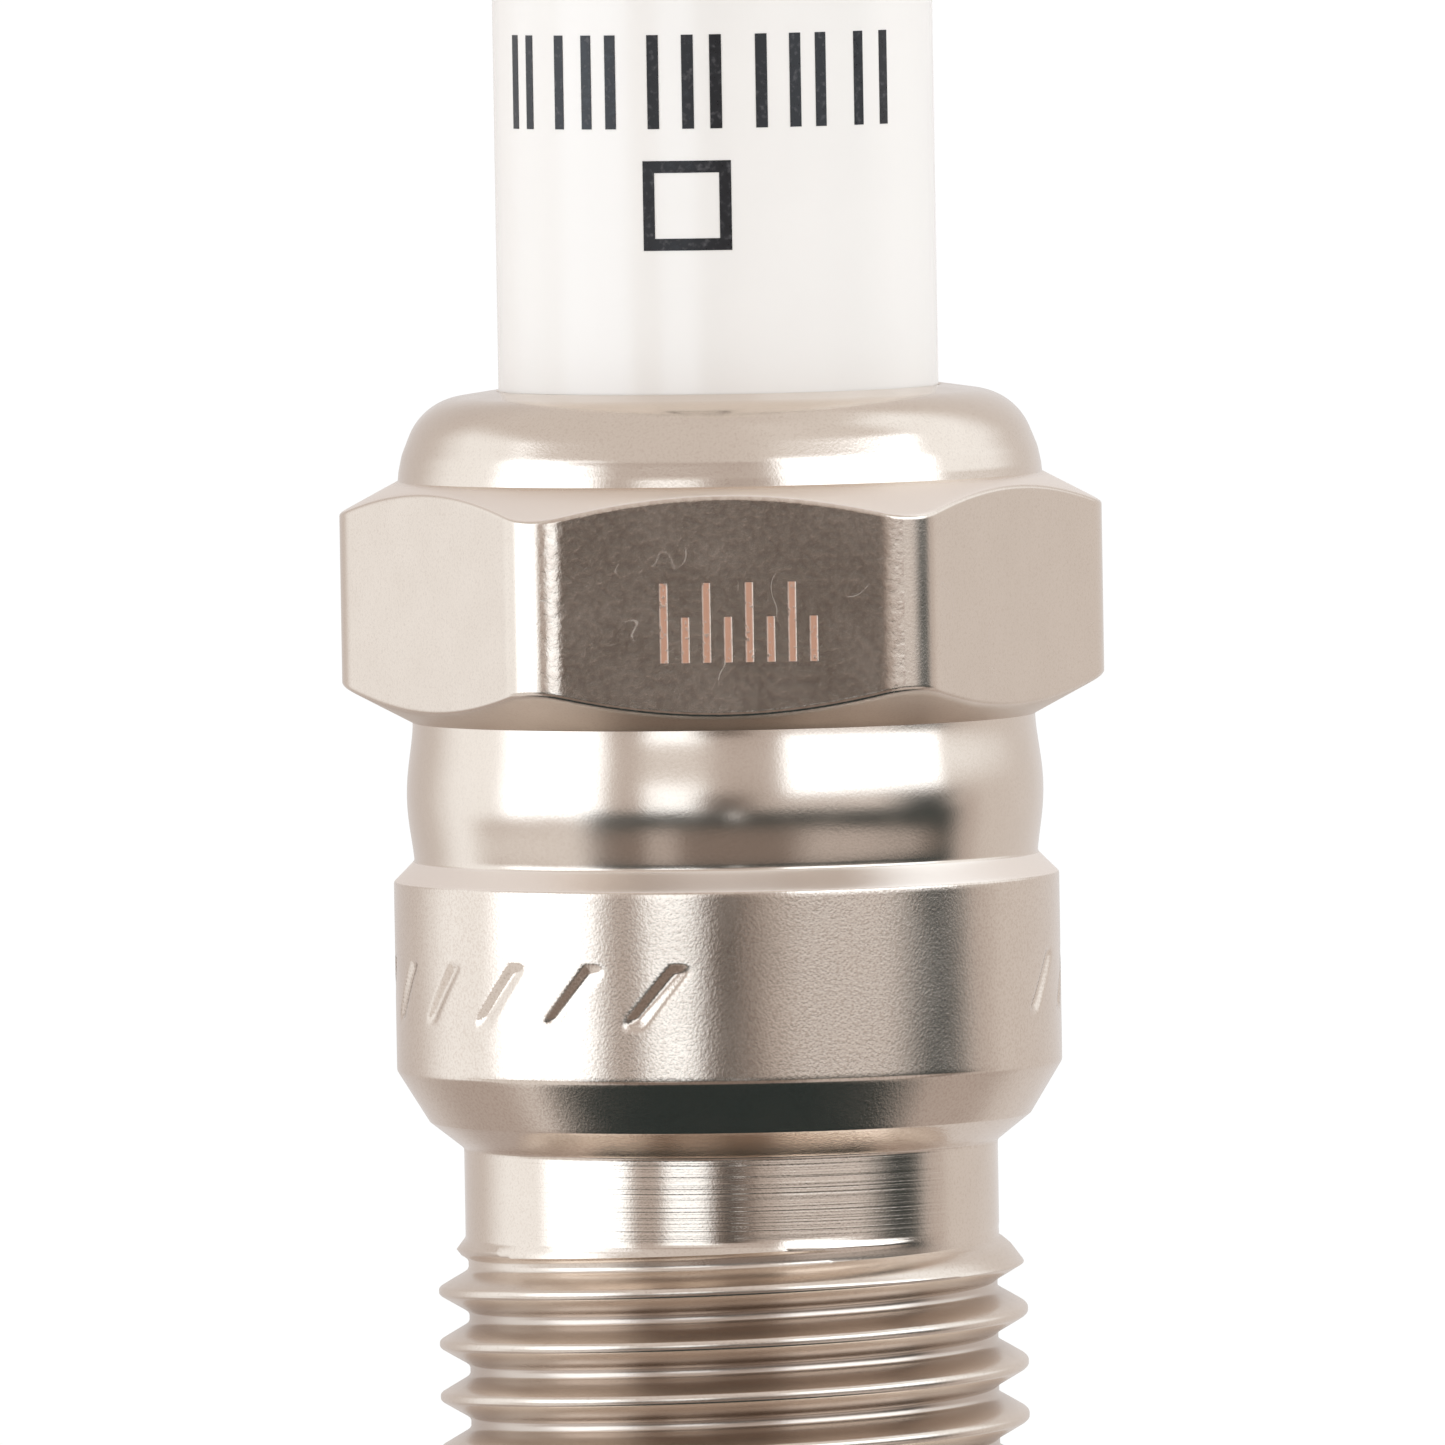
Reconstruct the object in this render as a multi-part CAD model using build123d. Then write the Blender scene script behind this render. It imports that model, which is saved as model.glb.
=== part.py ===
from build123d import *
import os
from math import radians, sqrt, tan

# A spark plug with an M14 x 1.25 thread, a 16 mm hexagon and a conical seat.
# All sizes are in millimetres. Z runs along the plug's axis, up towards the terminal, and
# Z = 0 is the seat's gauge plane, where the cone is 14.8 mm across. A flat of the hexagon
# faces -Y. Radii are called _R and heights _Z.

# ---- Driving dimensions ---------------------------------------------------------------

# Outside of the metal shell, from the firing end upwards
REACH = 25.0
NOSE_R = 6.05
THREAD_PITCH = 1.25
THREAD_MAJOR_R = 6.90
THREAD_MINOR_R = 6.25
THREAD_LEAD_IN_Z = -23.90
THREAD_RUNOUT_Z = -3.24
THREAD_RUNOUT_LENGTH = 0.80
THREAD_FOOT_Z = -24.27
THREAD_START_ANGLE = 60.0
THREAD_TURNS = 17
THREAD_FLAT = 1 / 8
THREAD_OVERCUT = 0.06
RELIEF_R = 6.30
RELIEF_TOP_Z = -1.12
GAUGE_R = 7.40
SEAT_HALF_ANGLE = 31.5
SEAT_FOOT_R = 7.10
SEAT_BODY_R = 7.85
SEAT_BODY_TOP_Z = 5.18
NECK_Z = (5.58, 7.21, 8.92)
NECK_R = (7.37, 7.49, 7.34)
HEX_FLATS = 16.0
HEX_CORNER_RADIUS = 1.6
HEX_CHAMFER_ANGLE = 28.0
HEX_TOP_Z = 14.64
CRIMP_FOOT_R = 7.60
CRIMP_FLANK = (7.50, 15.24)
CRIMP_FLANK_RADIUS = 1.0
CRIMP_SHOULDER = (7.00, 16.48)
CRIMP_SHOULDER_RADIUS = 1.5
CRIMP_TOP_Z = 16.74

# Rolled marks round the seat body
MARK_COUNT = 19
MARK_STEP = 15.4
MARK_FIRST_ANGLE = -12.4
MARK_CENTRE_Z = 2.72
MARK_HEIGHT = 1.46
MARK_LEAN = 1.26
MARK_WIDTH = 0.60
MARK_DEPTH = 0.15

# Bore of the shell, from the top down
LIP_R = 5.24
LIP_UNDERSIDE_Z = 16.20
CHAMBER_R = 6.45
CHAMBER_TOP_Z = 15.75
CHAMBER_FOOT_Z = 4.40
TRUNK_BORE_R = 4.55
TRUNK_BORE_TOP_Z = 2.90
LEDGE_TOP_Z = -12.05
LEDGE_R = 3.80
LEDGE_SLOPE = 0.55 / 0.76
LEDGE_FOOT_Z = -14.00
CAVITY_TOP_Z = -14.80
CAVITY_R = 4.65

# How far a cutting tool or a joined piece runs past its neighbour
OVERLAP = 0.20

# Insulator
BARREL_R = 5.19
BARREL_FOOT_Z = 16.10
BURIED_R = 5.12
INSULATOR_TOP_Z = 43.60
INSULATOR_TIP_Z = -27.00
HEAD_R = 3.75
RIB_COUNT = 5
RIB_PITCH = 2.1
RIB_LOWEST_Z = 31.2
RIB_CREST_R = 5.12
RIB_VALLEY_R = 4.55
RIB_ROUNDING = 0.22
HEAD_ROUNDING = 0.50
HEAD_FOOT_ROUNDING = 0.40
BORE_MOUTH_ROUNDING = 0.20
NOSE_MOUTH_ROUNDING = 0.10
SHOULDER_ROUNDING = 0.30
FLANGE_R = 6.35
FLANGE_TOP_Z = 9.60
FLANGE_FOOT_Z = 5.40
TRUNK_R = 4.38
TRUNK_TOP_Z = 3.60
TRUNK_FOOT_Z = -11.75
NOSE_ROOT_R = 3.62
NOSE_TIP_R = 2.35
STUD_BORE_R = 2.05
BORE_STEP_TOP_Z = -5.50
BORE_STEP_FOOT_Z = -6.30
ELECTRODE_BORE_R = 1.33

# Packing between insulator and shell
FACE_GAP = 0.01
RING_WIRE_R = 0.65
RING_R = (BURIED_R + CHAMBER_R) / 2
LOWER_RING_Z = FLANGE_TOP_Z + RING_WIRE_R + FACE_GAP
UPPER_RING_Z = 15.27
WASHER_R = (3.90, 4.36)

# Conductors inside the insulator
STUD_R = 2.00
STUD_TIP_R = 1.55
STUD_TIP_Z = (8.00, 13.00)
STUD_FLANGE_R = 2.90
STUD_FLANGE_TOP_Z = 44.60
STUD_TOP_Z = 51.20
STUD_THREAD_R = (1.55, 1.95)
STUD_THREAD_PITCH = 0.70
STUD_THREAD_TURNS = 9
STUD_UNDERCUT = 0.30
STUD_CHAMFER = 0.40
SEAL_R = 2.04
UPPER_SEAL_Z = (6.00, 12.50)
RESISTOR_FOOT_Z = -2.00
LOWER_SEAL_FOOT_Z = -5.05
ELECTRODE_R = 1.27
ELECTRODE_HEAD_R = 1.90
ELECTRODE_KNOB_R = 1.10
ELECTRODE_KNOB_Z = (-5.10, -3.90)
ELECTRODE_SHOULDER_Z = -27.90
ELECTRODE_FACE_R = 0.50
ELECTRODE_FACE_Z = -28.45
CORE_R = 0.72
CORE_FOOT_Z = -26.80

# Spark gap and ground electrode
TIP_R = 0.30
TIP_WELD_Z = -28.70
TIP_Z = -29.30
SPARK_GAP = 1.10
PAD_R = 0.50
PAD_THICKNESS = 0.25
PAD_PROUD = 0.10
STRAP_THICKNESS = 1.30
STRAP_WIDTH = 2.60
STRAP_CORNER_RADIUS = 0.25
STRAP_BEND_RADIUS = 1.60
STRAP_END_X = -0.90
STRAP_TAPER_LENGTH = 1.30
STRAP_TAPER_DEPTH = 0.55
STRAP_CORE_THICKNESS = 0.50
STRAP_CORE_WIDTH = 1.30
STRAP_CORE_END_X = 1.60

# Screw-on terminal nut
NUT_BORE_R = 2.00
NUT_BORE_TOP_Z = 51.60
NUT_THREAD_R = 2.30
NUT_THREAD_TURNS = 9
NUT_FOOT_Z = STUD_FLANGE_TOP_Z + 0.02
NUT_TOP_Z = 53.00
NUT_R = 3.175
NUT_FOOT_R = 3.05
NUT_WAIST_R = 2.55
NUT_WAIST_Z = (47.30, 48.30)
NUT_WAIST_SLOPE = 0.55


# ---- Shared shapes --------------------------------------------------------------------


def profile(corners, closed=True):
    """Edges joining (radius, height) corners. A third number rounds its corner."""
    points = [(corner[0], 0, corner[1]) for corner in corners]
    radii = [corner[2] if len(corner) > 2 else 0 for corner in corners]
    if not closed:
        radii = radii[1:-1]
    return FilletPolyline(*points, radius=radii, close=closed).edges()


def lathe(corners):
    """A solid turned from a closed profile."""
    return revolve(Face(Wire(profile(corners))), Axis.Z)


def tube(inner_r, outer_r, foot_z, top_z):
    """A plain ring."""
    return lathe([(inner_r, foot_z), (outer_r, foot_z), (outer_r, top_z), (inner_r, top_z)])


def rod(r, foot_z, top_z):
    """A plain cylinder."""
    return tube(0, r, foot_z, top_z)


def ring(centre_r, centre_z, wire_r):
    """A closed ring of round wire."""
    return Pos(0, 0, centre_z) * Torus(centre_r, wire_r)


def cut_thread(body, root_r, crest_r, pitch, foot_z, turns, start_angle=0):
    """Cut a right-hand 60 degree thread, one turn at a time. A nut's crest is inside its root."""
    outward = 1 if crest_r > root_r else -1
    root_half = (pitch - THREAD_FLAT * pitch) / 2 - abs(crest_r - root_r) * tan(radians(30))
    mouth_r = crest_r + outward * THREAD_OVERCUT
    mouth_half = root_half + abs(mouth_r - root_r) * tan(radians(30))
    outline = Polyline(
        (root_r, 0, foot_z + outward * root_half),
        (mouth_r, 0, foot_z + outward * mouth_half),
        (mouth_r, 0, foot_z - outward * mouth_half),
        (root_r, 0, foot_z - outward * root_half),
        close=True,
    )
    path = Pos(0, 0, foot_z) * Helix(pitch, pitch, (root_r + crest_r) / 2)
    turn = Rot(0, 0, start_angle) * sweep(Face(Wire(outline.edges())), path=path, is_frenet=True)
    for k in range(turns):
        body -= Pos(0, 0, k * pitch) * turn
    return body


def seat_z(r):
    """Height on the conical seat at a radius."""
    return (r - GAUGE_R) / tan(radians(SEAT_HALF_ANGLE))


# ---- Metal shell ----------------------------------------------------------------------


def shell_blank():
    """The turned shell without its hexagon, thread or marks."""
    crest_top_z = THREAD_RUNOUT_Z - THREAD_RUNOUT_LENGTH
    crest_foot_z = THREAD_LEAD_IN_Z + THREAD_MAJOR_R - NOSE_R
    below_neck = [
        (CAVITY_R, -REACH),
        (NOSE_R, -REACH, 0.25),
        (NOSE_R, THREAD_LEAD_IN_Z),
        (THREAD_MAJOR_R, crest_foot_z, 0.15),
        (THREAD_MAJOR_R, crest_top_z, 0.15),
        (RELIEF_R, THREAD_RUNOUT_Z),
        (RELIEF_R, RELIEF_TOP_Z, 0.25),
        (SEAT_FOOT_R, seat_z(SEAT_FOOT_R), 0.05),
        (SEAT_BODY_R, seat_z(SEAT_BODY_R), 0.18),
        (SEAT_BODY_R, SEAT_BODY_TOP_Z, 0.10),
        (NECK_R[0], NECK_Z[0]),
    ]
    above_neck = [
        (NECK_R[2], NECK_Z[2]),
        (CRIMP_FOOT_R, HEX_TOP_Z),
        (*CRIMP_FLANK, CRIMP_FLANK_RADIUS),
        (*CRIMP_SHOULDER, CRIMP_SHOULDER_RADIUS),
        (LIP_R, CRIMP_TOP_Z),
    ]
    bore = [
        (LIP_R, CRIMP_TOP_Z),
        (LIP_R, LIP_UNDERSIDE_Z),
        (CHAMBER_R, CHAMBER_TOP_Z),
        (CHAMBER_R, CHAMBER_FOOT_Z),
        (TRUNK_BORE_R, TRUNK_BORE_TOP_Z),
        (TRUNK_BORE_R, LEDGE_TOP_Z),
        (LEDGE_R, LEDGE_TOP_Z - (TRUNK_BORE_R - LEDGE_R) * LEDGE_SLOPE),
        (LEDGE_R, LEDGE_FOOT_Z),
        (CAVITY_R, CAVITY_TOP_Z),
        (CAVITY_R, -REACH),
    ]
    neck = ThreePointArc(*[(r, 0, z) for r, z in zip(NECK_R, NECK_Z)])
    straights = [profile(part, closed=False) for part in (below_neck, above_neck, bore)]
    return revolve(Face(Wire(neck.edges() + sum(straights, ShapeList()))), Axis.Z)


def hexagon():
    """The hexagon, with rounded corners and a cone turned on each end."""
    flat_r = HEX_FLATS / 2
    corner_r = flat_r * 2 / sqrt(3)
    slope = tan(radians(HEX_CHAMFER_ANGLE))
    waist_r = corner_r + OVERLAP
    foot_z, top_z = NECK_Z[2], HEX_TOP_Z
    collar = lathe(
        [
            (CHAMBER_R + OVERLAP, foot_z),
            (NECK_R[2], foot_z),
            (waist_r, foot_z + (waist_r - NECK_R[2]) * slope),
            (waist_r, top_z - (waist_r - CRIMP_FOOT_R) * slope),
            (CRIMP_FOOT_R, top_z),
            (CHAMBER_R + OVERLAP, top_z),
        ]
    )
    prism = extrude(RegularPolygon(corner_r, 6), top_z - foot_z)
    prism = fillet(prism.edges().filter_by(Axis.Z), HEX_CORNER_RADIUS)
    return collar & (Pos(0, 0, foot_z) * prism)


def rolled_mark(angle):
    """A leaning mark, for cutting into the seat body. Angles run from -Y towards +X."""
    lean, half_width, half_height = MARK_LEAN / 2, MARK_WIDTH / 2, MARK_HEIGHT / 2
    outline = Polyline(
        (-lean - half_width, -half_height),
        (-lean + half_width, -half_height),
        (lean + half_width, half_height),
        (lean - half_width, half_height),
        close=True,
    )
    face = Plane.XZ * Face(Wire(outline.edges()))
    punch = extrude(face, MARK_DEPTH + OVERLAP)
    return Rot(0, 0, angle) * Pos(0, MARK_DEPTH - SEAT_BODY_R, MARK_CENTRE_Z) * punch


def metal_shell():
    shell = cut_thread(
        shell_blank(),
        THREAD_MINOR_R,
        THREAD_MAJOR_R,
        THREAD_PITCH,
        THREAD_FOOT_Z,
        THREAD_TURNS,
        THREAD_START_ANGLE,
    )
    shell += hexagon()
    for k in range(MARK_COUNT):
        shell -= rolled_mark(MARK_FIRST_ANGLE - k * MARK_STEP)
    return shell


# ---- Insulator and packing ------------------------------------------------------------


def insulator():
    ribs = []
    for k in range(RIB_COUNT):
        z = RIB_LOWEST_Z + k * RIB_PITCH
        ribs += [
            (RIB_CREST_R, z, RIB_ROUNDING),
            (RIB_VALLEY_R, z + 0.25 * RIB_PITCH, RIB_ROUNDING),
            (RIB_VALLEY_R, z + 0.50 * RIB_PITCH, RIB_ROUNDING),
            (RIB_CREST_R, z + 0.75 * RIB_PITCH, RIB_ROUNDING),
        ]
    outline = [
        (STUD_BORE_R, INSULATOR_TOP_Z, BORE_MOUTH_ROUNDING),
        (STUD_BORE_R, BORE_STEP_TOP_Z),
        (ELECTRODE_BORE_R, BORE_STEP_FOOT_Z),
        (ELECTRODE_BORE_R, INSULATOR_TIP_Z, NOSE_MOUTH_ROUNDING),
        (NOSE_TIP_R, INSULATOR_TIP_Z, SHOULDER_ROUNDING),
        (NOSE_ROOT_R, TRUNK_FOOT_Z - (TRUNK_R - NOSE_ROOT_R) * LEDGE_SLOPE),
        (TRUNK_R, TRUNK_FOOT_Z),
        (TRUNK_R, TRUNK_TOP_Z, SHOULDER_ROUNDING),
        (FLANGE_R, FLANGE_FOOT_Z, SHOULDER_ROUNDING),
        (FLANGE_R, FLANGE_TOP_Z, SHOULDER_ROUNDING),
        (BURIED_R, FLANGE_TOP_Z),
        (BURIED_R, BARREL_FOOT_Z - (BARREL_R - BURIED_R)),
        (BARREL_R, BARREL_FOOT_Z),
        (BARREL_R, RIB_LOWEST_Z - RIB_PITCH / 4),
        *ribs,
        (RIB_CREST_R, RIB_LOWEST_Z + RIB_COUNT * RIB_PITCH, HEAD_FOOT_ROUNDING),
        (HEAD_R, INSULATOR_TOP_Z, HEAD_ROUNDING),
    ]
    return lathe(outline)


def seat_washer():
    """The conical washer that seals the insulator's shoulder on the shell's ledge."""
    inner_r, outer_r = WASHER_R
    ledge_foot_z = LEDGE_TOP_Z - (TRUNK_BORE_R - LEDGE_R) * LEDGE_SLOPE

    def above(r):
        return TRUNK_FOOT_Z - (TRUNK_R - r) * LEDGE_SLOPE - FACE_GAP

    def below(r):
        return ledge_foot_z + (r - LEDGE_R) * LEDGE_SLOPE + FACE_GAP

    return lathe(
        [
            (inner_r, below(inner_r)),
            (outer_r, below(outer_r)),
            (outer_r, above(outer_r)),
            (inner_r, above(inner_r)),
        ]
    )


def talc_packing():
    """The pressed talc between the two wire rings."""
    return tube(
        BURIED_R + FACE_GAP,
        CHAMBER_R - FACE_GAP,
        LOWER_RING_Z + RING_WIRE_R + FACE_GAP,
        UPPER_RING_Z - RING_WIRE_R - FACE_GAP,
    )


# ---- Conductors -----------------------------------------------------------------------


def terminal_stud():
    tip_foot_z, tip_top_z = STUD_TIP_Z
    stud = lathe(
        [
            (0, tip_foot_z),
            (STUD_TIP_R, tip_foot_z),
            (STUD_TIP_R, tip_top_z),
            (STUD_R, tip_top_z),
            (STUD_R, INSULATOR_TOP_Z + FACE_GAP),
            (STUD_FLANGE_R, INSULATOR_TOP_Z + FACE_GAP),
            (STUD_FLANGE_R, STUD_FLANGE_TOP_Z),
            (STUD_THREAD_R[0], STUD_FLANGE_TOP_Z),
            (STUD_THREAD_R[0], STUD_FLANGE_TOP_Z + STUD_UNDERCUT),
            (STUD_THREAD_R[1], STUD_FLANGE_TOP_Z + STUD_UNDERCUT + STUD_CHAMFER),
            (STUD_THREAD_R[1], STUD_TOP_Z - STUD_CHAMFER),
            (STUD_THREAD_R[0], STUD_TOP_Z),
            (0, STUD_TOP_Z),
        ]
    )
    foot_z = STUD_TOP_Z + OVERLAP - STUD_THREAD_TURNS * STUD_THREAD_PITCH
    return cut_thread(stud, *STUD_THREAD_R, STUD_THREAD_PITCH, foot_z, STUD_THREAD_TURNS)


def upper_glass_seal():
    foot_z, top_z = UPPER_SEAL_Z
    pocket = rod(STUD_TIP_R + FACE_GAP, STUD_TIP_Z[0] - FACE_GAP, top_z + OVERLAP)
    return rod(SEAL_R, foot_z + FACE_GAP, top_z) - pocket


def lower_glass_seal():
    knob_top_z = ELECTRODE_KNOB_Z[1]
    pocket = rod(ELECTRODE_KNOB_R + FACE_GAP, LOWER_SEAL_FOOT_Z - OVERLAP, knob_top_z + FACE_GAP)
    return rod(SEAL_R, LOWER_SEAL_FOOT_Z, RESISTOR_FOOT_Z - FACE_GAP) - pocket


def center_electrode():
    step_slope = (BORE_STEP_TOP_Z - BORE_STEP_FOOT_Z) / (STUD_BORE_R - ELECTRODE_BORE_R)
    neck_z = BORE_STEP_FOOT_Z
    head_z = neck_z + (ELECTRODE_HEAD_R - ELECTRODE_R) * step_slope
    knob_foot_z, knob_top_z = ELECTRODE_KNOB_Z
    sheath = lathe(
        [
            (0, ELECTRODE_FACE_Z),
            (ELECTRODE_FACE_R, ELECTRODE_FACE_Z),
            (ELECTRODE_R, ELECTRODE_SHOULDER_Z),
            (ELECTRODE_R, neck_z),
            (ELECTRODE_HEAD_R, head_z),
            (ELECTRODE_HEAD_R, knob_foot_z),
            (ELECTRODE_KNOB_R, knob_foot_z),
            (ELECTRODE_KNOB_R, knob_top_z),
            (0, knob_top_z),
        ]
    )
    return sheath - rod(CORE_R, CORE_FOOT_Z, knob_top_z + OVERLAP)


def firing_tip_weld():
    """The fused ring between the nickel electrode and the iridium tip."""
    return lathe(
        [
            (0, TIP_WELD_Z),
            (TIP_R + 0.02, TIP_WELD_Z),
            (ELECTRODE_FACE_R - 0.02, ELECTRODE_FACE_Z - FACE_GAP),
            (0, ELECTRODE_FACE_Z - FACE_GAP),
        ]
    )


def strap_path(end_x):
    """The centre line of the ground electrode: down from the shell, then in over the axis."""
    post_x = CAVITY_R + STRAP_THICKNESS / 2
    arm_z = TIP_Z - SPARK_GAP - PAD_PROUD - STRAP_THICKNESS / 2
    corners = [(post_x, 0, -REACH), (post_x, 0, arm_z), (end_x, 0, arm_z)]
    return FilletPolyline(*corners, radius=STRAP_BEND_RADIUS)


def strap_bar(width, thickness, corner_radius, end_x):
    """A rectangular bar along the ground electrode's path."""
    post_x = CAVITY_R + STRAP_THICKNESS / 2
    start = Plane((post_x, 0, -REACH), x_dir=(1, 0, 0), z_dir=(0, 0, -1))
    section = start * RectangleRounded(thickness, width, corner_radius)
    return sweep(section, path=strap_path(end_x))


def strap_corner(side):
    """A prism that takes one corner off the ground electrode's free end, when cut from it."""
    edge_y = side * STRAP_WIDTH / 2
    inner_y = edge_y - side * STRAP_TAPER_DEPTH
    outline = Polyline(
        (STRAP_END_X, inner_y),
        (STRAP_END_X + STRAP_TAPER_LENGTH, edge_y),
        (STRAP_END_X, edge_y + side * STRAP_TAPER_DEPTH),
        (STRAP_END_X - STRAP_TAPER_LENGTH, edge_y),
        close=True,
    )
    lowest_z = TIP_Z - SPARK_GAP - 2 * STRAP_THICKNESS
    return extrude(Pos(0, 0, lowest_z) * Face(Wire(outline.edges())), 3 * STRAP_THICKNESS, dir=(0, 0, 1))


def ground_electrode():
    bar = strap_bar(STRAP_WIDTH, STRAP_THICKNESS, STRAP_CORNER_RADIUS, STRAP_END_X)
    bar -= strap_corner(1)
    bar -= strap_corner(-1)
    pad_foot_z = TIP_Z - SPARK_GAP - PAD_THICKNESS
    bar -= rod(PAD_R + FACE_GAP, pad_foot_z - FACE_GAP, pad_foot_z + 2 * PAD_THICKNESS)
    return bar - ground_electrode_core()


def ground_electrode_core():
    return strap_bar(STRAP_CORE_WIDTH, STRAP_CORE_THICKNESS, 0.15, STRAP_CORE_END_X)


def ground_pad():
    face_z = TIP_Z - SPARK_GAP
    return rod(PAD_R, face_z - PAD_THICKNESS, face_z)


def terminal_nut():
    waist_foot_z, waist_top_z = NUT_WAIST_Z
    body = lathe(
        [
            (0, NUT_TOP_Z),
            (NUT_R, NUT_TOP_Z, 0.8),
            (NUT_R, waist_top_z + NUT_WAIST_SLOPE, 0.15),
            (NUT_WAIST_R, waist_top_z, 0.25),
            (NUT_WAIST_R, waist_foot_z, 0.25),
            (NUT_FOOT_R, waist_foot_z - NUT_WAIST_SLOPE, 0.15),
            (NUT_FOOT_R, NUT_FOOT_Z, 0.15),
            (NUT_BORE_R, NUT_FOOT_Z),
            (NUT_BORE_R, NUT_BORE_TOP_Z),
            (0, NUT_BORE_TOP_Z),
        ]
    )
    foot_z = NUT_FOOT_Z - STUD_THREAD_PITCH / 2
    return cut_thread(
        body, NUT_THREAD_R, NUT_BORE_R, STUD_THREAD_PITCH, foot_z, NUT_THREAD_TURNS
    )


# ---- Export ---------------------------------------------------------------------------

PARTS = {
    "metal_shell": metal_shell(),
    "insulator": insulator(),
    "upper_packing_ring": ring(RING_R, UPPER_RING_Z, RING_WIRE_R),
    "lower_packing_ring": ring(RING_R, LOWER_RING_Z, RING_WIRE_R),
    "talc_packing": talc_packing(),
    "seat_washer": seat_washer(),
    "terminal_stud": terminal_stud(),
    "upper_glass_seal": upper_glass_seal(),
    "resistor": rod(SEAL_R, RESISTOR_FOOT_Z, UPPER_SEAL_Z[0]),
    "lower_glass_seal": lower_glass_seal(),
    "center_electrode": center_electrode(),
    "center_electrode_core": rod(CORE_R - FACE_GAP, CORE_FOOT_Z + FACE_GAP, ELECTRODE_KNOB_Z[1]),
    "firing_tip_weld": firing_tip_weld(),
    "iridium_tip": rod(TIP_R, TIP_Z, TIP_WELD_Z - FACE_GAP),
    "ground_electrode": ground_electrode(),
    "ground_electrode_core": ground_electrode_core(),
    "ground_pad": ground_pad(),
    "terminal_nut": terminal_nut(),
}

os.makedirs("parts", exist_ok=True)
for name, part in PARTS.items():
    export_step(part, f"parts/{name}.step")
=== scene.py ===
from math import atan, cos, pi, radians, sin, tan

import bmesh
import bpy
import numpy as np
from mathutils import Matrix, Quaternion, Vector


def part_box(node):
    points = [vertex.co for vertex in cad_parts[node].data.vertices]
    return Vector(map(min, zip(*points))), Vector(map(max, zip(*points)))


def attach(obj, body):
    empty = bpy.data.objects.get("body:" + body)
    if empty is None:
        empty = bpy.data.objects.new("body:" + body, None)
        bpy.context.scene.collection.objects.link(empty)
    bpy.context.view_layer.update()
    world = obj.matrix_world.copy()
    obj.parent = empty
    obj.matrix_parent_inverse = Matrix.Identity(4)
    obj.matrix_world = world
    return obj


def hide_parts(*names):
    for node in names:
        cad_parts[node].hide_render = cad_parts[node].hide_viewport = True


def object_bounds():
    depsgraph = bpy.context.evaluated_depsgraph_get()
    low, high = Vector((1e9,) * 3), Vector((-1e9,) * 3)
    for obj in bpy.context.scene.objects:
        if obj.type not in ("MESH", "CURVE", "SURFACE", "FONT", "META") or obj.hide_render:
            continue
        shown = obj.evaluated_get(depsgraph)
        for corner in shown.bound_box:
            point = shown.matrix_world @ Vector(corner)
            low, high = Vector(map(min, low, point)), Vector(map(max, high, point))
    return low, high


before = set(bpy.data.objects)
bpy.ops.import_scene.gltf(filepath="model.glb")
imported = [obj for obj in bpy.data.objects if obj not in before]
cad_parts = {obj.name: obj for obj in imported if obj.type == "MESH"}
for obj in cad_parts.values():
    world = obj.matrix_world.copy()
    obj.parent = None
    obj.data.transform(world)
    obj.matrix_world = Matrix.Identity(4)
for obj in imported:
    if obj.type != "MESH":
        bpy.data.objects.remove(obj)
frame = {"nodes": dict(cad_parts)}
cad_low, cad_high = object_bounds()

# Shapes are worked out in millimetres, in the part's own frame: Z up along the plug's axis from the
# gauge plane of the conical seat, with a flat of the hexagon facing -Y. Meshes are made in metres.
MM = 0.001


def node_mm(node):
    """A CAD node's lowest and highest corners, in millimetres."""
    low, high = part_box(node)
    return low / MM, high / MM


SHELL_LOW, SHELL_HIGH = node_mm("metal_shell")
INSULATOR_LOW, INSULATOR_HIGH = node_mm("insulator")

# Metal shell
NOSE_Z = SHELL_LOW.z
LIP_TOP_Z = SHELL_HIGH.z
NOSE_R = 6.05
CAVITY_R = 4.65
LIP_R = 5.24
LIP_DRAFT = 0.02
LIP_INSIDE_Z = 16.30
CHAMBER_R = 6.45
CHAMBER_TOP_Z = 15.75
CHAMBER_FOOT_Z = 4.40
TRUNK_BORE_R = 4.55
TRUNK_BORE_TOP_Z = 2.90
HEX_FLAT_R = SHELL_HIGH.y
HEX_CORNER_RADIUS = 1.6
HEX_CHAMFER = radians(28)
CHAMFER_REACH = 1.1
TOP_EDGE_BLEND = 0.12
FOOT_EDGE_BLEND = 0.20
HEX_TOP_Z = 14.64
HEX_FOOT_Z = 8.94
DOME_CREST = (5.60, 16.69)
DOME_SHOULDER = (7.00, 16.48)
DOME_SHOULDER_RADIUS = 1.50
DOME_FLANK = (7.50, 15.24)
DOME_FLANK_RADIUS = 1.00
DOME_FOOT_R = 7.58
DOME_FOOT_Z = 14.85
DOME_FLARE = 0.02
NECK_R = 7.345
NECK_BULGE = 0.165
NECK_BULGE_Z = 7.20
NECK_BULGE_HALF = 1.75
NECK_FOOT_Z = 5.68
SEAT_BODY_R = 7.85
SEAT_BODY_TOP_Z = 5.18
GAUGE_R = 7.40
SEAT_HALF_ANGLE = radians(31.5)
SEAT_FOOT_R = 7.10
RELIEF_R = 6.30
RELIEF_TOP_Z = -1.12
SHANK_TOP_Z = -1.20
CAVITY_TOP_Z = -14.80
LEDGE_R = 3.80
LEDGE_FOOT_Z = -14.00
LEDGE_TOP_Z = -12.05

# Whatever is wider than this is the shell's outside
OUTSIDE_R = CHAMBER_R + 0.1

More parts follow.
